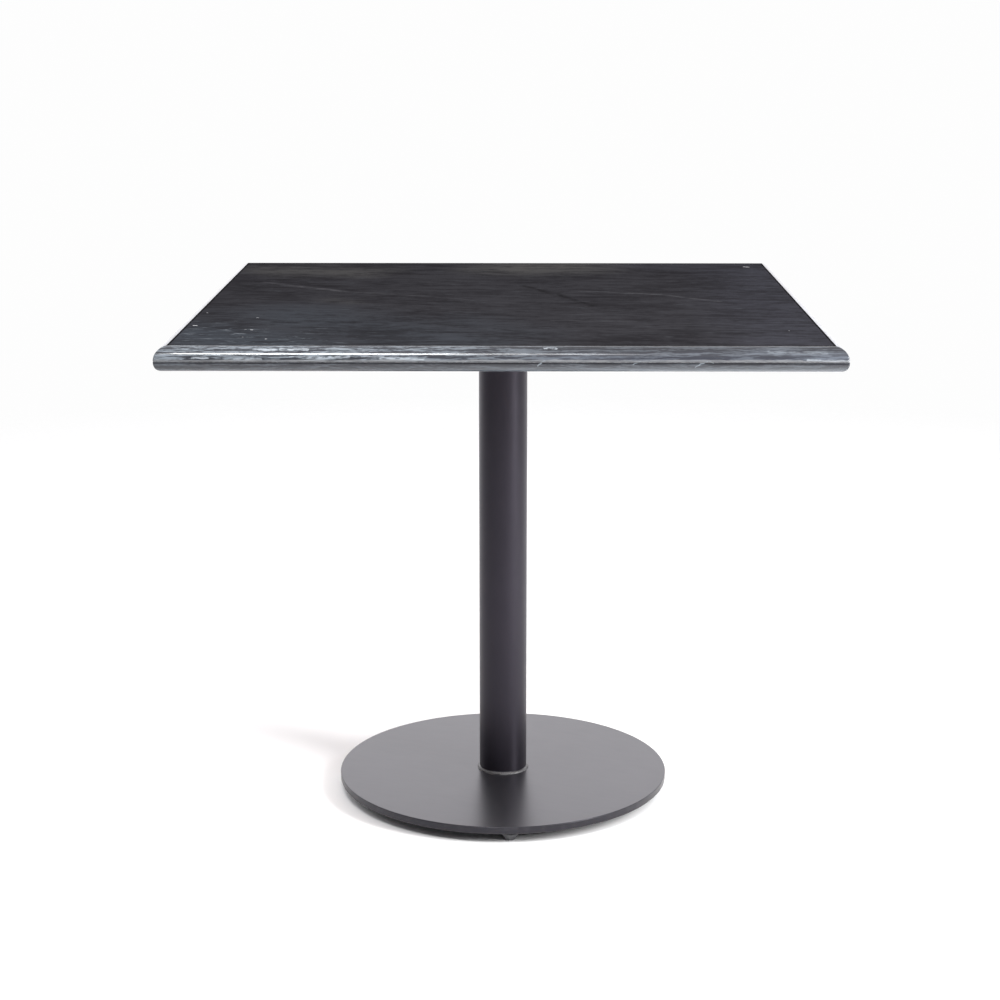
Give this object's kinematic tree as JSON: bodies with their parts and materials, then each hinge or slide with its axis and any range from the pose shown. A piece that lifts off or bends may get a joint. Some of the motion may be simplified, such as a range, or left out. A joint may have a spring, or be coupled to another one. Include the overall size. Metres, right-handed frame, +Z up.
{
  "type": "pedestal table",
  "caption": "Square dark stone table top with a rounded edge, on a round steel column and a flat round base plate that stands on small screw-adjustable feet.",
  "frame": {"origin": "on the floor under the axis of the column, with the feet screwed right in", "axes": "+Z up along the column, +X to the right and +Y to the back, both square to the sides of the top"},
  "size_m": [0.9, 0.9, 0.765],
  "materials": {
    "honed_stone": "honed flat face with polished rims",
    "polished_stone": "polished",
    "plywood": "sanded and sealed",
    "insert_alloy": "yellow passivated",
    "black_powder_coat": "fine satin powder coat",
    "zinc_steel": "bright zinc",
    "foot_nylon": "moulded matt"
  },
  "bodies": {
    "table": {"table_top": "honed_stone", "edge_strip_front": "polished_stone", "edge_strip_right": "polished_stone", "edge_strip_back": "polished_stone", "edge_strip_left": "polished_stone", "backing_board": "plywood", "threaded_inserts": "insert_alloy", "mounting_plate": "black_powder_coat", "plate_screws": "zinc_steel", "plate_washers": "zinc_steel", "gusset_1": "black_powder_coat", "gusset_2": "black_powder_coat", "gusset_3": "black_powder_coat", "gusset_4": "black_powder_coat", "top_weld": "black_powder_coat", "column_tube": "black_powder_coat", "foot_weld": "black_powder_coat", "base_plate": "black_powder_coat"},
    "foot_pad_1": {"foot_pad_1": "foot_nylon"},
    "foot_stem_1": {"foot_stem_1": "zinc_steel"},
    "foot_pad_2": {"foot_pad_2": "foot_nylon"},
    "foot_stem_2": {"foot_stem_2": "zinc_steel"},
    "foot_pad_3": {"foot_pad_3": "foot_nylon"},
    "foot_stem_3": {"foot_stem_3": "zinc_steel"},
    "foot_pad_4": {"foot_pad_4": "foot_nylon"},
    "foot_stem_4": {"foot_stem_4": "zinc_steel"}
  },
  "joints": [
    {"name": "foot_1_height", "type": "slide", "parent": "table", "child": "foot_pad_1", "axis": [0, 0, -1], "range_m": [0, 0.00375]},
    {"name": "foot_1_turn", "type": "hinge", "parent": "foot_pad_1", "child": "foot_stem_1", "pos_m": [0.01214, -0.23168, 0], "axis": [0, 0, -1], "range_deg": [0, 1080]},
    {"name": "foot_2_height", "type": "slide", "parent": "table", "child": "foot_pad_2", "axis": [0, 0, -1], "range_m": [0, 0.00375]},
    {"name": "foot_2_turn", "type": "hinge", "parent": "foot_pad_2", "child": "foot_stem_2", "pos_m": [0.23168, 0.01214, 0], "axis": [0, 0, -1], "range_deg": [0, 1080]},
    {"name": "foot_3_height", "type": "slide", "parent": "table", "child": "foot_pad_3", "axis": [0, 0, -1], "range_m": [0, 0.00375]},
    {"name": "foot_3_turn", "type": "hinge", "parent": "foot_pad_3", "child": "foot_stem_3", "pos_m": [-0.01214, 0.23168, 0], "axis": [0, 0, -1], "range_deg": [0, 1080]},
    {"name": "foot_4_height", "type": "slide", "parent": "table", "child": "foot_pad_4", "axis": [0, 0, -1], "range_m": [0, 0.00375]},
    {"name": "foot_4_turn", "type": "hinge", "parent": "foot_pad_4", "child": "foot_stem_4", "pos_m": [-0.23168, -0.01214, 0], "axis": [0, 0, -1], "range_deg": [0, 1080]}
  ],
  "couplings": [
    {"joint": "foot_1_turn", "follows": "foot_1_height", "rad_per_m": 5026.5},
    {"joint": "foot_2_turn", "follows": "foot_2_height", "rad_per_m": 5026.5},
    {"joint": "foot_3_turn", "follows": "foot_3_height", "rad_per_m": 5026.5},
    {"joint": "foot_4_turn", "follows": "foot_4_height", "rad_per_m": 5026.5}
  ]
}
